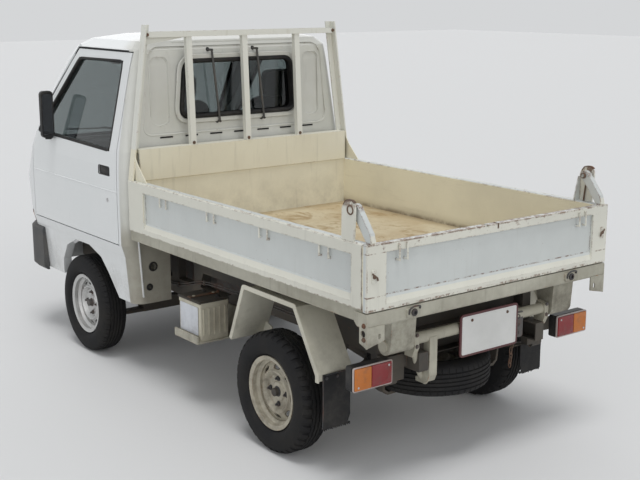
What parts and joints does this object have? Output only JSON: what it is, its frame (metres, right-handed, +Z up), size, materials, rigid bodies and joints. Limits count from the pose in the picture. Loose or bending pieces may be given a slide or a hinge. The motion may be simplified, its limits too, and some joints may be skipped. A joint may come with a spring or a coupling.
{
  "type": "kei tipper truck",
  "caption": "Small cab-over tipper truck with a tilting drop-tail bed, headboard guard, two doors and four steel wheels.",
  "frame": {"origin": "on the ground under the middle of the whole vehicle", "axes": "+Z up, -Y towards the front of the cab, +X towards the vehicle's left"},
  "size_m": [1.542, 3.295, 1.8239],
  "materials": {
    "cab_white": "gloss paint, dusty",
    "bed_white": "worn gloss paint with rust at the edges",
    "bed_floor_worn": "worn to tan metal",
    "frame_black": "dusty satin",
    "frame_cream": "weathered satin",
    "bumper_grey": "matte",
    "trim_black": "matte",
    "rubber_black": "matte",
    "tyre_black": "matte",
    "wheel_silver": "satin",
    "wheel_cream": "satin, rust spotted",
    "glass_clear": "clear",
    "lamp_clear": "fluted",
    "lamp_amber": "fluted",
    "lamp_red": "fluted",
    "seat_cloth": "woven",
    "steel_bare": "ground rod",
    "cast_grey": "rough",
    "battery_case": "matte",
    "plate_white": "satin"
  },
  "bodies": {
    "chassis": {"battery": "battery_case", "battery_tray": "frame_cream", "cab_back_panel": "cab_white", "cab_floor": "trim_black", "cab_front_panel": "cab_white", "cab_glass": "glass_clear", "cab_roof": "cab_white", "cab_sides": "cab_white", "dashboard": "trim_black", "engine": "cast_grey", "exhaust": "cast_grey", "front_bumper": "bumper_grey", "front_indicators": "lamp_amber", "front_suspension": "frame_black", "fuel_tank": "frame_black", "gearbox": "cast_grey", "grille": "trim_black", "headlamps": "lamp_clear", "hoist_subframe": "frame_black", "ladder_frame": "frame_black", "leaf_springs": "frame_black", "mudflaps": "rubber_black", "number_plate": "plate_white", "propeller_shaft": "frame_black", "rear_axle": "frame_black", "rear_fenders": "frame_cream", "rear_window_seal": "rubber_black", "seats": "seat_cloth", "spare_rim": "wheel_silver", "spare_tyre": "tyre_black", "tail_lamps": "lamp_red", "tilt_shaft": "frame_cream", "window_guards": "cab_white"},
    "bed": {"bed_floor": "bed_floor_worn", "bed_sides": "bed_white", "headboard": "bed_white", "bed_underframe": "frame_cream"},
    "tailgate": {"tailgate": "bed_white"},
    "hoist_barrel": {"hoist_barrel": "frame_black"},
    "hoist_rod": {"hoist_rod": "steel_bare"},
    "steering_wheel": {"steering_wheel": "trim_black"},
    "knuckle_left": {"knuckle_left": "cast_grey"},
    "knuckle_right": {"knuckle_right": "cast_grey"},
    "door_left": {"door_left": "cab_white", "door_glass_left": "glass_clear", "mirror_left": "trim_black"},
    "door_right": {"door_right": "cab_white", "door_glass_right": "glass_clear", "mirror_right": "trim_black"},
    "wheel_front_left": {"rim_front_left": "wheel_silver", "tyre_front_left": "tyre_black"},
    "wheel_front_right": {"rim_front_right": "wheel_silver", "tyre_front_right": "tyre_black"},
    "wheel_rear_left": {"rim_rear_left": "wheel_cream", "tyre_rear_left": "tyre_black"},
    "wheel_rear_right": {"rim_rear_right": "wheel_cream", "tyre_rear_right": "tyre_black"}
  },
  "joints": [
    {"name": "steer_left", "type": "hinge", "parent": "chassis", "child": "knuckle_left", "pos_m": [0.565, -0.875, 0.272], "axis": [0, 0, 1], "range_deg": [-32, 32]},
    {"name": "steer_right", "type": "hinge", "parent": "chassis", "child": "knuckle_right", "pos_m": [-0.565, -0.875, 0.272], "axis": [0, 0, 1], "range_deg": [-32, 32]},
    {"name": "steering_wheel_turn", "type": "hinge", "parent": "chassis", "child": "steering_wheel", "pos_m": [-0.33, -1.175, 1.12], "axis": [0, 0.5446, 0.8387], "range_deg": [-512, 512]},
    {"name": "spin_front_left", "type": "hinge", "parent": "knuckle_left", "child": "wheel_front_left", "pos_m": [0.605, -0.875, 0.272], "axis": [1, 0, 0], "continuous": true},
    {"name": "spin_front_right", "type": "hinge", "parent": "knuckle_right", "child": "wheel_front_right", "pos_m": [-0.605, -0.875, 0.272], "axis": [1, 0, 0], "continuous": true},
    {"name": "spin_rear_left", "type": "hinge", "parent": "chassis", "child": "wheel_rear_left", "pos_m": [0.605, 0.945, 0.272], "axis": [1, 0, 0], "continuous": true},
    {"name": "spin_rear_right", "type": "hinge", "parent": "chassis", "child": "wheel_rear_right", "pos_m": [-0.605, 0.945, 0.272], "axis": [1, 0, 0], "continuous": true},
    {"name": "door_left_swing", "type": "hinge", "parent": "chassis", "child": "door_left", "pos_m": [0.698, -1.42, 1.1], "axis": [0, 0, -1], "range_deg": [0, 65]},
    {"name": "door_right_swing", "type": "hinge", "parent": "chassis", "child": "door_right", "pos_m": [-0.698, -1.42, 1.1], "axis": [0, 0, 1], "range_deg": [0, 65]},
    {"name": "bed_tilt", "type": "hinge", "parent": "chassis", "child": "bed", "pos_m": [0, 1.55, 0.616], "axis": [-1, 0, 0], "range_deg": [0, 50]},
    {"name": "tailgate_swing", "type": "hinge", "parent": "bed", "child": "tailgate", "pos_m": [0, 1.531, 1.18], "axis": [1, 0, 0], "range_deg": [0, 70]},
    {"name": "hoist_barrel_swing", "type": "hinge", "parent": "chassis", "child": "hoist_barrel", "pos_m": [0, 0.18, 0.54], "axis": [1, 0, 0], "range_deg": [0, 16.55]},
    {"name": "hoist_rod_slide", "type": "slide", "parent": "hoist_barrel", "child": "hoist_rod", "axis": [0, 0.9837, 0.1799], "range_m": [0, 0.37]}
  ],
  "couplings": [
    {"joint": "steer_right", "follows": "steer_left", "ratio": 1},
    {"joint": "steering_wheel_turn", "follows": "steer_left", "ratio": 16},
    {"joint": "hoist_barrel_swing", "follows": "bed_tilt", "ratio": 0.33105},
    {"joint": "hoist_rod_slide", "follows": "bed_tilt", "m_per_rad": 0.42394}
  ]
}
